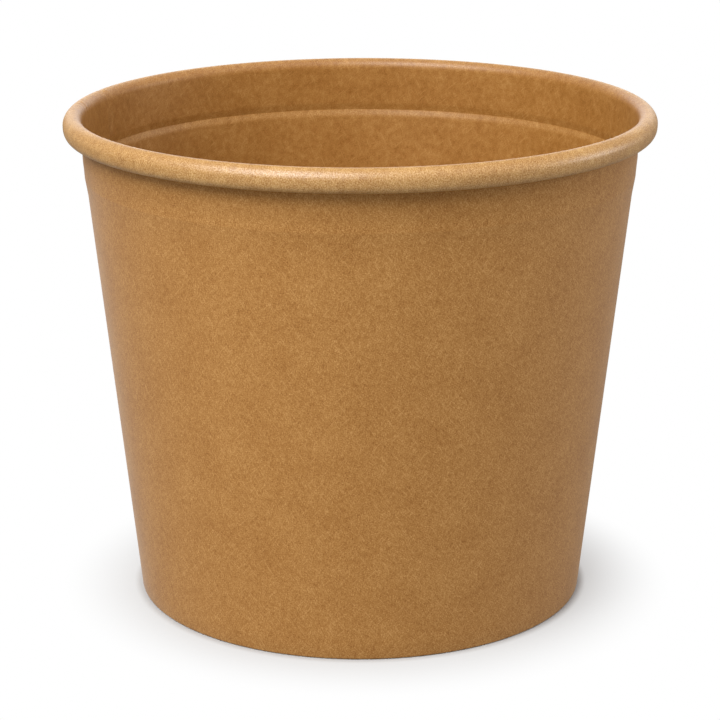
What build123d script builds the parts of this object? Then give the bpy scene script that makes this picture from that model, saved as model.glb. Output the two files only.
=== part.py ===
from build123d import *
from math import atan2, cos, radians, sin, tan
import os

os.makedirs("parts", exist_ok=True)

# Overall sizes, in millimetres
height = 152.0  # floor to the top of the rolled rim
rim_diameter = 180.0  # across the outside of the rolled rim
base_diameter = 138.8  # across the outside of the bottom fold

# Paperboard
wall_board = 0.5  # thickness of the sidewall blank
disc_board = 0.45  # thickness of the bottom disc
seal_gap = 0.05  # sealing film between the skirt and each ply beside it

# Rolled rim
roll_width = 5.8  # across the oval roll
roll_height = 7.1  # top of the roll to its underside
crown_height = 3.0  # top of the roll to its widest ring
neck_draw = 0.5  # the board is drawn in this far from the line of the wall, below the roll
tuck_rise = 1.9  # height of the tucked end of the board above the underside
tuck_gap = 0.1  # between the tucked end of the board and the seam beside it
roll_flats = 3  # flats that round each quarter of the roll in sight
hidden_flats = 2  # flats that round each quarter turn out of sight

# Stacking bead, pressed outward below the rim
crest_drop = 17.4  # top of the rim to the widest ring of the bead
bead_swell = 2.4  # height over which the wall swells to that ring
bead_return = 3.3  # height over which it draws in again above the ring
bead_depth = 0.5  # swell of the ring from the wall
band_step = 0.2  # set-out of the plain band between the bead and the roll

# Bottom
disc_height = 10.0  # floor to the upper face of the disc
skirt_gap = 0.5  # edge of the skirt to the inside of the fold
hem_gap = 3.4  # upper edge of the hem to the underside of the disc

# Side seam
seam_angle = 161.0  # start of the lap, round the axis from +X
lap_angle = 6.0  # width of the lap
ramp_angle = 2.4  # ramp of the outer ply down to the wall
ramp_toe = 0.05  # height left at the thin end of the ramp
lap_foot = 1.2  # lower end of the outer ply above the floor
lap_tuck = 1.1  # upper end of the outer ply above the underside of the roll

# The food side of the wall is a straight line, and the neck leads from it into the roll
foot_x = base_diameter / 2 - wall_board
roll_x = rim_diameter / 2 - roll_width / 2
roll_z = height - crown_height
taper = atan2(roll_x - roll_width / 2 + neck_draw - foot_x, roll_z)


def on_wall(z, out=0.0):
    """Point at height z, set out square to the food side of the plain wall."""
    return (foot_x + z * tan(taper) + out / cos(taper), z)


# The tucked end turns in as far as the seam on the neck leaves room
under_z = height - roll_height + tuck_rise
tuck_width = roll_width / 2 - 2 * wall_board - tuck_gap

# The fold has room for the skirt, and the hem ends below the disc
skirt_foot = wall_board + skirt_gap
hem_space = disc_board + 2 * seal_gap
hem_height = disc_height - disc_board - hem_gap
lap_head = height - roll_height + lap_tuck


def bead_points(depth):
    """Bead at a depth below the food side: its foot, its widest ring and the foot of the plain band."""
    crest = height - crest_drop
    return [
        on_wall(crest - bead_swell, depth),
        on_wall(crest, depth + bead_depth),
        on_wall(crest + bead_return, depth + band_step),
    ]


def bend_points(z, across, tall, start, flats):
    """Corners of a clockwise quarter turn whose flats touch an oval on the middle of the roll, at height z."""
    step = 90 / flats
    reach = 1 / cos(radians(step / 2))
    turns = [radians(start - (k + 0.5) * step) for k in range(flats)]
    return [(roll_x + across * reach * cos(t), z + tall * reach * sin(t)) for t in turns]


def blank_points(depth, flats):
    """Whole blank at a depth below its food side: hem, fold, wall, bead, roll and tucked end."""
    across = roll_width / 2 - depth
    return [
        on_wall(hem_height, -hem_space - depth),
        on_wall(wall_board - depth, -hem_space - depth),
        on_wall(wall_board - depth, depth),
        *bead_points(depth),
        *bend_points(roll_z, across, crown_height - depth, 180, flats),
        *bend_points(roll_z, across, crown_height - depth, 90, flats),
        *bend_points(roll_z, across, roll_height - crown_height - depth, 0, flats),
        *bend_points(under_z, tuck_width - depth, tuck_rise - depth, -90, hidden_flats),
    ]


def lap_points(depth):
    """Side seam at a depth below the food side, from the fold to the roll."""
    band_x, band_z = bead_points(depth)[-1]
    neck_x = roll_x - roll_width / 2 + depth
    share = (lap_head - band_z) / (roll_z - band_z)
    return [on_wall(lap_foot, depth), *bead_points(depth), (band_x + share * (neck_x - band_x), lap_head)]


def seam_plane(turn):
    """Plane through the axis, turned on from the start of the lap."""
    return Plane.XZ.rotated((0, 0, seam_angle + turn))


# Outer ply of the side seam: it lies on the wall, and runs down to it before the lap
with BuildPart() as lap_ply:
    with BuildSketch(seam_plane(-ramp_angle)):
        with BuildLine():
            Polyline(*lap_points(wall_board / 2), *reversed(lap_points(wall_board + ramp_toe)), close=True)
        make_face()
    with BuildSketch(seam_plane(0)) as lap:
        with BuildLine():
            Polyline(*lap_points(wall_board / 2), *reversed(lap_points(2 * wall_board)), close=True)
        make_face()
    loft(ruled=True)
    revolve(lap.sketch, axis=Axis.Z, revolution_arc=lap_angle)

# Sidewall: one blank, hemmed at the bottom, beaded and rolled at the top
with BuildPart() as sidewall:
    with BuildSketch(Plane.XZ):
        with BuildLine():
            food_side = blank_points(0, roll_flats)
            outer_side = blank_points(wall_board, hidden_flats)
            Polyline(*food_side, *reversed(outer_side), close=True)
        make_face()
    revolve(axis=Axis.Z)
    add(lap_ply.part)

sidewall.part.label = "sidewall"
export_step(sidewall.part, "parts/sidewall.step")

# Bottom disc: its edge is turned down as a skirt between the wall and the hem
with BuildPart() as bottom_disc:
    with BuildSketch(Plane.XZ):
        with BuildLine():
            Polyline(
                (0, disc_height),
                on_wall(disc_height, -seal_gap),
                on_wall(skirt_foot, -seal_gap),
                on_wall(skirt_foot, -seal_gap - disc_board),
                on_wall(disc_height - disc_board, -seal_gap - disc_board),
                (0, disc_height - disc_board),
                close=True,
            )
        make_face()
    revolve(axis=Axis.Z)

bottom_disc.part.label = "bottom_disc"
export_step(bottom_disc.part, "parts/bottom_disc.step")
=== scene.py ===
from math import atan2, cos, pi, radians, sin, tan
import bpy
import numpy as np
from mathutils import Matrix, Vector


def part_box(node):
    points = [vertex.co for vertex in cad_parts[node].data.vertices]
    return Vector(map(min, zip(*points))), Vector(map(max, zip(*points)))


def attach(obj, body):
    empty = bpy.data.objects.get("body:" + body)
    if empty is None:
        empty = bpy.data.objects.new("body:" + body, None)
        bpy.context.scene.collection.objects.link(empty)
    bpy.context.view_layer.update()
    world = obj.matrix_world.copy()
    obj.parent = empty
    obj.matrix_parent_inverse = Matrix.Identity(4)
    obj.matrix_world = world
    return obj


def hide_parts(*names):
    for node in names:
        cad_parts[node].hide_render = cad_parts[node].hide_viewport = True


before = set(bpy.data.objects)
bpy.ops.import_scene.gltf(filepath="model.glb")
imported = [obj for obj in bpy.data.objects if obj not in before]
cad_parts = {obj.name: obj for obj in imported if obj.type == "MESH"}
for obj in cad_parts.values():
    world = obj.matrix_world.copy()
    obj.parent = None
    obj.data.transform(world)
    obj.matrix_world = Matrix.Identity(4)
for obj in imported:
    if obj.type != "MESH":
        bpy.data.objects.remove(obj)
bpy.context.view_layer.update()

# Overall sizes, in metres, taken from the frame
_, wall_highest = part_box("sidewall")
rim_radius = wall_highest.x
height = wall_highest.z
_, disc_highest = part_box("bottom_disc")
disc_radius = disc_highest.x
disc_height = disc_highest.z

# Board
base_radius = 0.0694  # outside of the bottom fold
wall_board = 0.0005
disc_board = 0.00045
seal_gap = 0.00005  # film between the skirt and each ply beside it
other_side = 0.5  # set-off on the flat blank that gives the two sides of a board their own grain

# Rolled rim
roll_width = 0.0058
roll_height = 0.0071
crown_height = 0.0033  # top of the roll to its widest ring
neck_draw = 0.00047  # the board is drawn in this far from the line of the wall, below the roll
upper_fullness = 1.75  # of the upper outer quarter of the roll, where an ellipse has 2
under_fullness = 2.7  # of the lower outer quarter
tuck_rise = 0.0019  # height of the last bend, inside the roll
tuck_gap = 0.0001  # between that bend and the seam beside it
tail_length = 0.0016  # end of the board, turned up inside the roll
rim_play = 0.00006  # most that the rim's outline wanders, inward or outward
rim_dip = 0.0006  # the left of the rim is this much lower than the right
round_height = 0.02  # up to here the bucket does not wander
rim_zone = 0.010  # top of the rim to where creases and the pressed seam start to come in
rim_fade = 0.006  # height over which they do
pale_and_painted_light_lead = 0.002  # the roll's colour turns paler from this far before its crown, partly a paler rolled board and partly painted light and sheen
satin_lead = 0.0042  # and satin from this far
pale_and_satin_fade = 0.003  # length over which each comes in

# Stacking bead below the rim
crest_drop = 0.0169  # top of the rim to the widest ring of the bead
bead_swell = 0.0020  # height over which the wall swells to that ring
bead_return = 0.0022  # height over which it draws in again above the ring
bead_depth = 0.00055  # swell of the ring from the wall, on the food side
band_step = 0.0001  # set-out of the plain band between the bead and the roll
bead_foot_bend = 0.005  # radius of the bend at the foot of the bead
crest_bend = 0.0006
band_bend = 0.006
swell_drop = 0.0192  # top of the rim to the soft swell that the bead makes outside
swell_reach = 0.0020
swell_depth = 0.00012
swell_step = 0.0002  # set-out of the plain band above that swell
swell_zone = 0.1  # height where the outside starts to follow the swell
swell_fade = 0.01  # height over which it comes to do so
band_fade = 0.004  # height over which it leaves the swell again, above the bead
flank_painted_light = 0.35  # painted light: share of the roll's paler colour given to the bead's lower flank, for the light that it catches from above
flank_satin = 0.2

# Bottom
skirt_gap = 0.0005  # edge of the skirt to the inside of the fold
hem_gap = 0.0034  # upper edge of the hem to the underside of the disc
fold_radius = 0.00045
disc_bend = 0.0006
disc_bow = 0.0003  # the disc's middle stands this much lower than its edge
pole_radius = 0.0005  # innermost ring of the disc, closed by a fan of triangles

# Side seam, with its turns in degrees round the axis from +X
seam_angle = 161.0
lap_angle = 6.0
ramp_angle = 2.4  # over which the far end of the blank steps out on to the near end
crease_span = 24  # closely set columns on from the near end
lap_span = 12  # closely set columns up to the far end
fold_lead = 0.004  # along the section, the step fades from this far before the fold
fold_lead_fade = 0.003
fold_trail = 0.003  # and comes in again from this far after it
fold_trail_fade = 0.004
seam_press = 0.65  # share of the board's thickness that is pressed out of the seam over the roll
crease_turn = 13.0  # middle of the creases in the rim, on from the seam
crease_reach = 2.4
crease_pitch = 1.9
crease_slant = 0.004  # height over which the creases lean by one pitch
crease_depth = 0.00016

# Lamps
lamp_distance = 2.4
lamp_aim = 0.09  # height of the point that the lamps face
world_light = 0.64  # strength of the white world as light

# Floor
floor_reach = 3.0
floor_lines = 9  # lines of points each way
floor_bounce = (0.28, 0.28, 0.28, 1)  # to the light that it throws back on the bucket
floor_tone = (0.46, 0.46, 0.46, 1)  # to the camera
shadow_middle = (0.002, 0, 0)  # point that the floor fades into white away from
shadow_start = 0.06  # distance from it where the white starts to come in
shadow_end = 0.098  # distance from it where the white is full
near_white = 0.33  # share of white beside the bucket
contact_reach = 0.003  # the white comes in over this width round the foot

# Camera, fitted to the photograph's 720 by 720 frame
camera_place = (-0.00004, -0.74693, 0.29499)
camera_tilt = 16.663  # degrees below the horizon
camera_lens = 124.54  # millimetres, on a 36 mm sensor

# Lines of the section
foot_radius = base_radius - wall_board
roll_x = rim_radius - roll_width / 2
roll_z = height - crown_height
taper = atan2(roll_x - roll_width / 2 + neck_draw - foot_radius, roll_z)
hem_space = disc_board + 2 * seal_gap
hem_height = disc_height - disc_board - hem_gap


def on_wall(z, out=0.0):
    """Point of the section at height z, set out square to the food side of the plain wall."""
    return (foot_radius + z * tan(taper) + out / cos(taper), z)


def rounded_line(corners, radii, run_steps, bend_steps):
    """A line through corners with its bends rounded: straight runs, and arcs that touch them, in turn.

    Each bend's arc starts its tangent length, radius times tan(half the turn), before the corner.
    Returns the points, their unit tangents and how far along the line each one is."""
    corners = np.asarray(corners, float)
    runs = np.diff(corners, axis=0)
    ways = runs / np.linalg.norm(runs, axis=1, keepdims=True)
    headings = np.arctan2(ways[:, 1], ways[:, 0])
    turns = (np.diff(headings) + pi) % (2 * pi) - pi
    trims = np.concatenate([[0], np.asarray(radii) * np.tan(np.abs(turns) / 2), [0]])
    points, angles = [], []
    for k, way in enumerate(ways):
        start = corners[k] + way * trims[k]
        end = corners[k + 1] - way * trims[k + 1]
        share = np.linspace(0, 1, run_steps[k] + 1)[1 if k else 0:]
        points.append(start + share[:, None] * (end - start))
        angles.append(np.full(len(share), headings[k]))
        if k < len(turns):
            swing = turns[k] * np.linspace(0, 1, bend_steps[k] + 1)[1:]
            side = np.sign(turns[k])
            middle = end + side * radii[k] * np.array([-way[1], way[0]])
            away = headings[k] - side * pi / 2 + swing
            points.append(middle + radii[k] * np.stack([np.cos(away), np.sin(away)], 1))
            angles.append(headings[k] + swing)
    points = np.concatenate(points)
    angles = np.concatenate(angles)
    tangents = np.stack([np.cos(angles), np.sin(angles)], 1)
    steps = np.linalg.norm(np.diff(points, axis=0), axis=1)
    return points, tangents, np.concatenate([[0], np.cumsum(steps)])


def quarter(middle, across, tall, start, steps, fullness=2.0):
    """A quarter of an oval, turning clockwise from start degrees: its points and unit tangents.

    At fullness 2 it is an ellipse: |x / across| and |z / tall|, each to that power, add up to 1."""
    turn = np.radians(start - 90 * np.linspace(0, 1, steps + 1)[1:])
    cosine, sine = np.cos(turn).round(9), np.sin(turn).round(9)
    size = (np.abs(cosine) ** fullness + np.abs(sine) ** fullness) ** (-1 / fullness)
    x, z = size * cosine, size * sine
    steep = fullness - 1
    ways = np.stack([across * np.sign(z) * np.abs(z) ** steep, -tall * np.sign(x) * np.abs(x) ** steep], 1)
    points = np.asarray(middle) + np.stack([across * x, tall * z], 1)
    return points, ways / np.linalg.norm(ways, axis=1, keepdims=True)


def ease(x):
    """Smooth step: 0 below 0, 1 above 1, level at both ends."""
    x = np.clip(x, 0, 1)
    return x * x * (3 - 2 * x)


def turned(radius, z, angle):
    """Points of a section carried round the axis to each angle."""
    return np.stack([radius * np.cos(angle), radius * np.sin(angle), z + 0 * angle], -1)


def grid_faces(rows, columns, flip):
    """Quads of a grid of vertices, numbered row by row."""
    corner = (np.arange(rows - 1)[:, None] * columns + np.arange(columns - 1)).ravel()
    quads = np.stack([corner, corner + columns, corner + columns + 1, corner + 1], 1)
    return quads[:, ::-1] if flip else quads


def strip_faces(first, second):
    """Quads between two lines of vertex numbers."""
    return np.stack([first[:-1], first[1:], second[1:], second[:-1]], 1)


def board_piece(name, points, blank, paler_painted_light_and_satin, faces, finishes, parts):
    """Makes the mesh of a board from its points, its places on the flat blank, and its faces by finish.

    Each point also keeps its share of paler colour, partly painted light, and its share of satin, each from
    0 to 1."""
    mesh = bpy.data.meshes.new(name)
    mesh.from_pydata(points.tolist(), [], [f for group in faces for f in group.tolist()])
    places = mesh.attributes.new("blank", "FLOAT_VECTOR", "POINT")
    places.data.foreach_set("vector", blank.astype(np.float32).ravel())
    for key, share in paler_painted_light_and_satin.items():
        shares = mesh.attributes.new(key, "FLOAT", "POINT")
        shares.data.foreach_set("value", share.astype(np.float32).ravel())
    for finish in finishes:
        mesh.materials.append(finish)
    finish_numbers = np.repeat(parts, [len(group) for group in faces])
    mesh.polygons.foreach_set("material_index", finish_numbers.astype(np.int32))
    mesh.polygons.foreach_set("use_smooth", np.ones(len(mesh.polygons), bool))
    mesh.set_sharp_from_angle(angle=radians(40))
    mesh.update()
    piece = bpy.data.objects.new(name, mesh)
    bpy.context.scene.collection.objects.link(piece)
    return piece


def sidewall_piece(finishes):
    """One blank wrapped round the axis, a little more than once, so that its ends lap at the side seam.

    The section runs down the hem, round the fold, up the wall, over the bead and up the neck
    as straight runs with round bends, then round four quarter ovals that make the roll,
    and up its tucked end.
    Each side of the board is that line set off by half the board, carried round the axis.
    Towards its far end the blank steps out by one board, on to its own near end.
    Small smooth waves leave it a little out of round."""
    half = wall_board / 2
    crest = height - crest_drop
    roll_middle = (roll_x - rim_play, roll_z)
    across = roll_width / 2 - half
    corners = [
        on_wall(hem_height, -hem_space - half),
        on_wall(half, -hem_space - half),
        on_wall(half, half),
        on_wall(crest - bead_swell, half),
        on_wall(crest, half + bead_depth),
        on_wall(crest + bead_return, half + band_step),
        (roll_middle[0] - across, roll_z),
    ]
    radii = [fold_radius, fold_radius, bead_foot_bend, crest_bend, band_bend]
    line, tangents, _ = rounded_line(corners, radii, [5, 1, 26, 2, 2, 8], [5, 5, 5, 6, 5])
    tuck_middle = (roll_middle[0], height - roll_height + tuck_rise)
    tuck_width = roll_width / 2 - 2 * wall_board - tuck_gap - half
    bends = [
        quarter(roll_middle, across, crown_height - half, 180, 10),
        quarter(roll_middle, across, crown_height - half, 90, 14, upper_fullness),
        quarter(roll_middle, across, roll_height - crown_height - half, 0, 14, under_fullness),
        quarter(tuck_middle, tuck_width, tuck_rise - half, -90, 8),
    ]
    tail = bends[-1][0][-1] + np.linspace(0, tail_length, 4)[1:, None] * [0, 1]
    wall_rows = len(line)
    crown_row = wall_rows + len(bends[0][0]) - 1
    line = np.concatenate([line, *[points for points, _ in bends], tail])
    tangents = np.concatenate([tangents, *[ways for _, ways in bends], [[0, 1]] * 3])
    along = np.concatenate([[0], np.cumsum(np.linalg.norm(np.diff(line, axis=0), axis=1))])
    food_way = np.stack([-tangents[:, 1], tangents[:, 0]], 1)

    start = seam_angle
    end = seam_angle + 360 + lap_angle
    creased = np.linspace(start, start + crease_span, 81)
    plain = np.linspace(start + crease_span, end - lap_span, 241)[1:-1]
    degree = np.concatenate([creased, plain, np.linspace(end - lap_span, end, 41)])
    angle = np.radians(degree)[:, None]

    # Step out at the lap, on the wall, the roll and the hem but not where the fold stands on the floor
    past_hem = ease((along - (hem_height - fold_lead)) / fold_lead_fade)
    up_wall = ease((along - (hem_height + fold_trail)) / fold_trail_fade)
    off_fold = 1 - past_hem * (1 - up_wall)
    on_rim = ease((line[:, 1] - (height - rim_zone)) / rim_fade)
    pressed = 1 - seam_press * on_rim
    ramp = ease((degree - (start + 360 - ramp_angle)) / ramp_angle)[:, None]
    step = wall_board * ramp * off_fold * pressed
    rise = ease((line[:, 1] - round_height) / (height - round_height))
    waves = 0.6 * np.cos(2 * angle + 0.7) + 0.3 * np.cos(3 * angle - 1.1) + 0.25 * np.cos(5 * angle + 2.0)
    most_wave = 1.15
    wander = rim_play * rise * waves / most_wave
    from_middle = degree[:, None] - (start + crease_turn)
    creases = np.sin(2 * pi * (from_middle / crease_pitch + line[:, 1] / crease_slant))
    creases = crease_depth * on_rim * np.exp(-((from_middle / crease_reach) ** 2)) * (creases - 1) / 2

    middle_r = line[:, 0] + food_way[:, 0] * (creases - step) + wander
    middle_z = line[:, 1] + food_way[:, 1] * (creases - step)
    middle_z = middle_z - rim_dip * ease(middle_z / height) * (1 - np.cos(angle)) / 2
    food = turned(middle_r + food_way[:, 0] * half, middle_z + food_way[:, 1] * half, angle)

    # The groove of the bead is crisp on the food side, and a low broad swell outside
    out = (line[:, 0] - on_wall(line[:, 1], half)[0]) * cos(taper)
    above = line[:, 1] - (height - swell_drop)
    swell = swell_step * ease(above / swell_reach + 1) + swell_depth * np.exp(-((above / swell_reach) ** 2))
    past_band = ease((line[:, 1] - crest - bead_return) / band_fade)
    beaded = ease((line[:, 1] - swell_zone) / swell_fade) * (1 - past_band)
    beaded[wall_rows:] = 0
    outer_half = half + beaded * (swell - out)

    # Over the roll the near end of the blank is pressed thinner, so that the seam lies flat there
    in_lap = 1 - ease((degree[:, None] - start - lap_angle) / ramp_angle)
    outer_half = outer_half - wall_board * seam_press * on_rim * in_lap
    outer = turned(middle_r - food_way[:, 0] * outer_half, middle_z - food_way[:, 1] * outer_half, angle)

    # Place on the flat blank, a fan whose point is where the wall's slope meets the axis
    reach = foot_radius / sin(taper) + along - hem_height
    fan = (angle - angle.mean()) * sin(taper)
    flat = np.stack([reach * np.cos(fan), reach * np.sin(fan)], -1)
    flat_food = np.concatenate([flat, np.zeros_like(flat[..., :1])], -1)
    flat_outer = np.concatenate([flat, np.full_like(flat[..., :1], other_side)], -1)

    columns, rows = food.shape[:2]
    number = np.arange(columns * rows).reshape(columns, rows)
    other = number + columns * rows
    edges = [
        strip_faces(number[:, 0], other[:, 0]),
        strip_faces(other[:, -1], number[:, -1]),
        strip_faces(other[0], number[0]),
        strip_faces(number[-1], other[-1]),
    ]
    faces = [grid_faces(columns, rows, True), grid_faces(columns, rows, False) + columns * rows, *edges]
    points = np.concatenate([food.reshape(-1, 3), outer.reshape(-1, 3)])
    blank = np.concatenate([flat_food.reshape(-1, 3), flat_outer.reshape(-1, 3)])

    # Past the crown the roll is coloured paler, partly a paler rolled board and partly painted light and
    # sheen, and it is satin over the roll;
    # the bead's lower flank gets a little of both: paler colour as painted light for the light it catches
    # from above, and a little satin
    past_crown = along - along[crown_row]
    flank = np.exp(-(((line[:, 1] - crest) / bead_swell + 0.5) / 0.5) ** 2)
    # the flank term paints light on the bead's lower flank
    pale = ease((past_crown + pale_and_painted_light_lead) / pale_and_satin_fade) + flank_painted_light * flank
    satin = ease((past_crown + satin_lead) / pale_and_satin_fade) + flank_satin * flank
    paler_painted_light_and_satin = {"pale": np.tile(pale, 2 * columns), "satin": np.tile(satin, 2 * columns)}
    return board_piece("sidewall_board", points, blank, paler_painted_light_and_satin, faces, finishes, [0, 1, 2, 2, 2, 2])


def disc_piece(finishes):
    """A disc whose edge is bent down as a skirt: a section turned round the axis, closed at its middle."""
    half = disc_board / 2
    middle = disc_height - half
    corners = [
        (pole_radius, middle),
        on_wall(middle, -seal_gap - half),
        on_wall(wall_board + skirt_gap, -seal_gap - half),
    ]
    line, tangents, along = rounded_line(corners, [disc_bend], [22, 6], [7])
    food_way = np.stack([-tangents[:, 1], tangents[:, 0]], 1)
    dish = disc_bow * ease(1 - line[:, 0] / disc_radius) * (line[:, 1] > middle - disc_bend)
    angle = np.linspace(0, 2 * pi, 193)[:, None]
    dished = line[:, 1] - dish
    food = turned(line[:, 0] + food_way[:, 0] * half, dished + food_way[:, 1] * half, angle)[:-1]
    under = turned(line[:, 0] - food_way[:, 0] * half, dished - food_way[:, 1] * half, angle)[:-1]
    reach = along + line[0, 0]
    flat = np.stack([reach * np.cos(angle), reach * np.sin(angle), 0 * reach + 0 * angle], -1)[:-1]

    columns, rows = food.shape[:2]
    number = np.arange(columns * rows).reshape(columns, rows)
    closed = np.vstack([number, number[:1]])
    other = closed + columns * rows
    pole = 2 * columns * rows

    def sheet(numbers, flip):
        """Quads of one side of the disc, all the way round."""
        corners = [numbers[:-1, :-1], numbers[1:, :-1], numbers[1:, 1:], numbers[:-1, 1:]]
        quads = np.stack(corners, -1).reshape(-1, 4)
        return quads[:, ::-1] if flip else quads

    top_fan = np.stack([np.full(columns, pole), closed[:-1, 0], closed[1:, 0]], 1)
    under_fan = np.stack([np.full(columns, pole + 1), other[1:, 0], other[:-1, 0]], 1)
    skirt_edge = strip_faces(other[:, -1], closed[:, -1])
    faces = [sheet(closed, True), top_fan, sheet(other, False), under_fan, skirt_edge]
    poles = [[0, 0, middle - disc_bow + half], [0, 0, middle - disc_bow - half]]
    points = np.concatenate([food.reshape(-1, 3), under.reshape(-1, 3), poles])
    flat = flat.reshape(-1, 3)
    blank = np.concatenate([flat, flat + [0, 0, other_side], [[0, 0, 0], [0, 0, other_side]]])
    paler_painted_light_and_satin = {"pale": np.zeros(len(points)), "satin": np.zeros(len(points))}
    return board_piece("bottom_disc_board", points, blank, paler_painted_light_and_satin, faces, finishes, [0, 0, 1, 1, 2])


class Wire:
    """A value in a finish: arithmetic on it adds Math nodes."""

    def __init__(self, finish, socket):
        self.finish = finish
        self.socket = socket

    def maths(self, operation, *terms):
        return self.finish.node("ShaderNodeMath", {"operation": operation}, dict(enumerate(terms)))

    def __add__(self, other):
        return self.maths("ADD", self, other)

    def __sub__(self, other):
        return self.maths("SUBTRACT", self, other)

    def __rsub__(self, other):
        return self.maths("SUBTRACT", other, self)

    def __mul__(self, other):
        return self.maths("MULTIPLY", self, other)

    def above(self, low, high):
        """0 up to low, 1 from high on, smooth between."""
        settings = {"interpolation_type": "SMOOTHSTEP"}
        inputs = {"Value": self, "From Min": low, "From Max": high}
        return self.finish.node("ShaderNodeMapRange", settings, inputs)

    __radd__ = __add__
    __rmul__ = __mul__


class Finish:
    """A material under construction, with one way of adding a node."""

    def __init__(self, name):
        self.material = bpy.data.materials.new(name)
        self.material.use_nodes = True
        self.tree = self.material.node_tree
        self.shader = self.tree.nodes["Principled BSDF"]

    def put(self, socket, value):
        """Links a wire to a socket, or sets the socket's number."""
        if isinstance(value, Wire):
            self.tree.links.new(value.socket, socket)
        else:
            socket.default_value = value

    def node(self, kind, settings=None, inputs=None, output=0):
        """Adds a node, with its settings and the values or links of its sockets, and returns one output."""
        node = self.tree.nodes.new(kind)
        for key, value in (settings or {}).items():
            if key == "stops":
                for place, _ in value[2:]:
                    node.color_ramp.elements.new(place)
                for element, (place, colour) in zip(node.color_ramp.elements, sorted(value)):
                    element.position = place
                    element.color = (*colour, 1)
            else:
                setattr(node, key, value)
        for key, value in (inputs or {}).items():
            self.put(node.inputs[key], value)
        return Wire(self, node.outputs[output])

    def mix(self, share, first, second):
        """Mixes two colours by a share."""
        return self.node("ShaderNodeMix", {"data_type": "RGBA"}, {0: share, 6: first, 7: second}, 2)

    def attribute(self, name, output):
        """A value that the mesh keeps at its points."""
        return self.node("ShaderNodeAttribute", {"attribute_name": name}, None, output)

    def set(self, name, value):
        """Links or sets one input of the shader."""
        self.put(self.shader.inputs[name], value)

    def noise(self, place, scale, detail=2.0, roughness=0.5):
        """Noise with about this many grains to the metre."""
        inputs = {"Vector": place, "Scale": scale, "Detail": detail, "Roughness": roughness}
        return self.node("ShaderNodeTexNoise", None, inputs)

    def laid(self, place, turn, stretch):
        """The place on the blank turned and drawn out, so that a noise there lies in fibres."""
        inputs = {"Vector": place, "Rotation": (0, 0, radians(turn)), "Scale": (stretch, 1, 1)}
        return self.node("ShaderNodeMapping", {"vector_type": "TEXTURE"}, inputs)


def kraft(name, tones, weights, roughness, fibre_lift, gloss, sheen, pale_and_painted_light_lift, coat):
    """Unbleached kraft: clouded stock, felted fibres, fine grain, dark specks and pale fibres.

    Where the pale share is set, its colour is lifted by its lift factor, partly a paler rolled board and
    partly painted light and sheen, and its grain is stronger;
    where the satin share is set, its coating is drawn to a speckled satin of weight coat, which is weaker
    where the board is seen at a slant."""
    dark, middle, light = tones
    cloudy, mottled, grainy, felted = weights
    finish = Finish(name)
    place = finish.attribute("blank", 1)
    pale_and_painted_light_share = finish.attribute("pale", 2)
    satin_share = finish.attribute("satin", 2)

    clouds = finish.noise(place, 70, 3.0, 0.55)
    mottle = finish.noise(place, 420, 3.0, 0.6)
    grain = finish.noise(place, 2600, 2.0, 0.7)
    felt = 0
    for turn, scale in ((12, 3300), (68, 3600), (121, 3000), (160, 3900)):
        felt = felt + finish.noise(finish.laid(place, turn, 6), scale, 1.0, 0.5)
    felt = felt * 0.25
    tone = (clouds - 0.5) * cloudy + (mottle - 0.5) * mottled + 0.5
    tone = tone + (grain - 0.5) * grainy * (1 + pale_and_painted_light_share) + (felt - 0.5) * felted
    stops = [(0.0, dark), (0.5, middle), (1.0, light)]
    colour = finish.node("ShaderNodeValToRGB", {"stops": stops}, {"Fac": tone})

    spot_settings = {"feature": "F1", "distance": "EUCLIDEAN"}
    spots = finish.node("ShaderNodeTexVoronoi", spot_settings, {"Vector": place, "Scale": 330})
    specks = 1 - spots.above(0.05, 0.12)
    fibres = finish.noise(finish.laid(place, 35, 14), 2600, 0.0).above(0.72, 0.76)
    fibres = fibres + finish.noise(finish.laid(place, 140, 12), 2300, 0.0).above(0.72, 0.76)
    colour = finish.mix(specks * 0.35, colour, (*dark, 1))
    colour = finish.mix(fibres * 0.4, colour, (*light, 1))
    # Painted light: the lift makes the pale parts lighter and whiter, partly a paler rolled board and
    # partly light and sheen painted in
    lifted_with_painted_light = finish.node("ShaderNodeVectorMath", {"operation": "MULTIPLY"}, {0: colour, 1: pale_and_painted_light_lift})
    finish.set("Base Color", finish.mix(pale_and_painted_light_share, colour, lifted_with_painted_light))

    slant = finish.node("ShaderNodeLayerWeight", None, {"Blend": 0.5}, 1)
    speckle = 0.3 + grain.above(0.35, 0.65) * 1.2
    finish.set("Coat Weight", satin_share * coat * (1 - slant * 0.8) * speckle)
    finish.set("Coat Roughness", 0.4)
    finish.set("Coat IOR", 1.65)
    finish.set("Roughness", roughness + (grain - 0.5) * 0.12 + (mottle - 0.5) * 0.08)
    relief = grain * 0.5 + felt * 0.9 + mottle * 0.6
    bump_inputs = {"Strength": 0.5, "Distance": fibre_lift, "Height": relief}
    finish.set("Normal", finish.node("ShaderNodeBump", None, bump_inputs))
    finish.set("Specular IOR Level", gloss)
    finish.set("Sheen Weight", sheen)
    finish.set("Sheen Roughness", 0.4)
    return finish.material


def cut_edge():
    """Raw cut edge of the board: matt and grainy."""
    finish = Finish("cut_edge_board")
    place = finish.node("ShaderNodeTexCoord", None, None, 3)
    grain = finish.noise(place, 2500, 3.0, 0.6)
    stops = [(0.2, (0.26, 0.12, 0.038)), (0.8, (0.45, 0.25, 0.10))]
    finish.set("Base Color", finish.node("ShaderNodeValToRGB", {"stops": stops}, {"Fac": grain}))
    finish.set("Roughness", 0.8 + (grain - 0.5) * 0.1)
    bump_inputs = {"Strength": 0.6, "Distance": 0.0001, "Height": grain}
    finish.set("Normal", finish.node("ShaderNodeBump", None, bump_inputs))
    return finish.material


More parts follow.
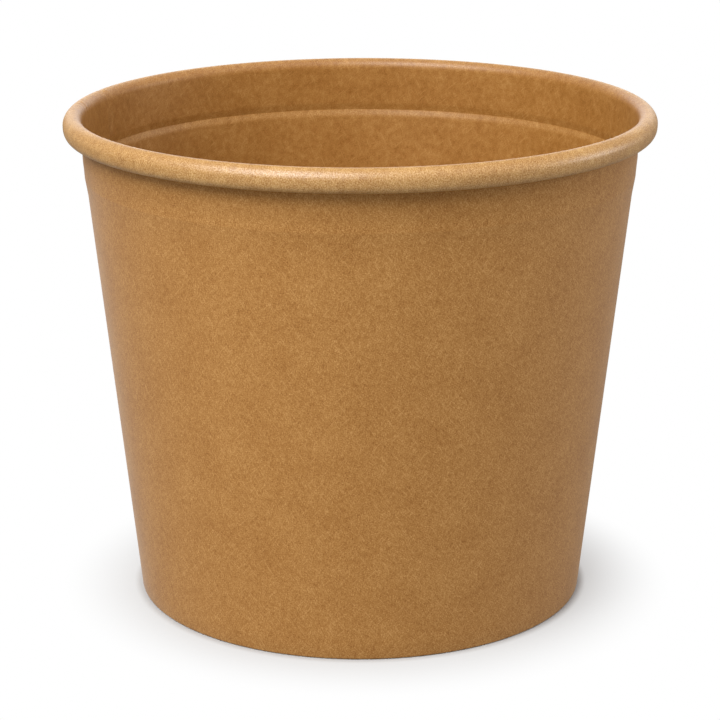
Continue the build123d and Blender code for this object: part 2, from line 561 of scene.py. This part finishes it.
def floor_piece():
    """A wide pale floor. To the camera it fades into white, less so near the bucket and not at its foot."""
    share = np.linspace(-floor_reach, floor_reach, floor_lines)
    x, y = np.meshgrid(share, share, indexing="ij")
    points = np.stack([x, y, 0 * x], -1).reshape(-1, 3)
    mesh = bpy.data.meshes.new("floor")
    mesh.from_pydata(points.tolist(), [], grid_faces(floor_lines, floor_lines, False).tolist())
    finish = Finish("white_floor")
    finish.set("Roughness", 0.9)
    finish.set("Specular IOR Level", 0.1)
    place = finish.node("ShaderNodeTexCoord", None, None, 3)
    seen = finish.node("ShaderNodeLightPath", None, None, 0)
    finish.set("Base Color", finish.mix(seen, floor_bounce, floor_tone))
    away_inputs = {0: place, 1: shadow_middle}
    away = finish.node("ShaderNodeVectorMath", {"operation": "DISTANCE"}, away_inputs, 1)
    far = away.above(shadow_start, shadow_end)
    from_axis = finish.node("ShaderNodeVectorMath", {"operation": "LENGTH"}, {0: place}, 1)
    clear = from_axis.above(base_radius, base_radius + contact_reach)
    faded = seen * clear * (near_white + far * (1 - near_white))
    white = finish.node("ShaderNodeEmission")
    lit = Wire(finish, finish.shader.outputs[0])
    blend = finish.node("ShaderNodeMixShader", None, {0: faded, 1: lit, 2: white})
    finish.put(finish.tree.nodes["Material Output"].inputs["Surface"], blend)
    mesh.materials.append(finish.material)
    floor = bpy.data.objects.new("floor", mesh)
    bpy.context.scene.collection.objects.link(floor)
    return floor


def soft_box(name, turn, rise, size, power):
    """A soft lamp that faces the middle of the bucket, placed by its degrees to the right and upward."""
    lamp = bpy.data.lights.new(name, "AREA")
    lamp.shape = "RECTANGLE"
    lamp.size, lamp.size_y = size
    lamp.energy = power
    turn = radians(turn)
    rise = radians(rise)
    light = bpy.data.objects.new(name, lamp)
    out = lamp_distance * cos(rise)
    light.location = (out * sin(turn), -out * cos(turn), lamp_aim + lamp_distance * sin(rise))
    light.rotation_euler = (pi / 2 - rise, 0, turn)
    bpy.context.scene.collection.objects.link(light)


def studio():
    """Soft lamps, and a world that is white to the camera and dimmer as light."""
    soft_box("key_lamp", -28, 48, (1.2, 1.7), 46.5)
    soft_box("left_lamp", -55, 46, (1.2, 1.4), 23.5)
    soft_box("right_lamp", 55, 50, (1.8, 1.8), 6.5)
    soft_box("low_lamp", 98, 12, (1.1, 0.8), 16)
    soft_box("back_card", 180, 14, (2.4, 1.0), 14)
    world = bpy.data.worlds.new("studio")
    bpy.context.scene.world = world
    world.use_nodes = True
    tree = world.node_tree
    background = tree.nodes["Background"]
    background.inputs["Color"].default_value = (1, 1, 1, 1)
    path = tree.nodes.new("ShaderNodeLightPath")
    seen = tree.nodes.new("ShaderNodeMapRange")
    seen.inputs["To Min"].default_value = world_light
    seen.inputs["To Max"].default_value = 1.0
    tree.links.new(path.outputs["Is Camera Ray"], seen.inputs["Value"])
    tree.links.new(seen.outputs["Result"], background.inputs["Strength"])


def camera():
    """The photograph's viewpoint: level across, tilted down towards the bucket."""
    lens = bpy.data.cameras.new("camera")
    lens.sensor_width = 36
    lens.lens = camera_lens
    view = bpy.data.objects.new("camera", lens)
    view.location = camera_place
    view.rotation_euler = (radians(90 - camera_tilt), 0, 0)
    bpy.context.scene.collection.objects.link(view)
    bpy.context.scene.camera = view


food_tones = ((0.2, 0.07, 0.007), (0.322, 0.143, 0.031), (0.465, 0.245, 0.075))
plain_tones = ((0.218, 0.076, 0.0095), (0.366, 0.170, 0.0415), (0.532, 0.29, 0.097))
food_side = kraft(
    "kraft_food_side",
    food_tones,
    weights=(0.5, 0.8, 0.95, 1.1),
    roughness=0.5,
    fibre_lift=0.00002,
    gloss=0.2,
    sheen=0.0,
    # painted light: lifts the roll's colour, most in blue, partly for a paler rolled board and partly for
    # the light and sheen on it
    pale_and_painted_light_lift=(1.26, 1.46, 1.8),
    coat=1.0,
)
outside = kraft(
    "kraft_outside",
    plain_tones,
    weights=(0.36, 0.36, 1.42, 2.3),
    roughness=0.75,
    fibre_lift=0.00004,
    gloss=0.25,
    sheen=0.2,
    pale_and_painted_light_lift=(1, 1, 1),
    coat=0.0,
)
edge = cut_edge()
sidewall = sidewall_piece([food_side, outside, edge])
disc = disc_piece([food_side, outside, edge])
for piece, node, slot in ((sidewall, "sidewall", "wall_board"), (disc, "bottom_disc", "disc_board")):
    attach(piece, "root")
    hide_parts(node)

floor_piece()
studio()
camera()
bpy.context.scene.view_settings.view_transform = "Standard"
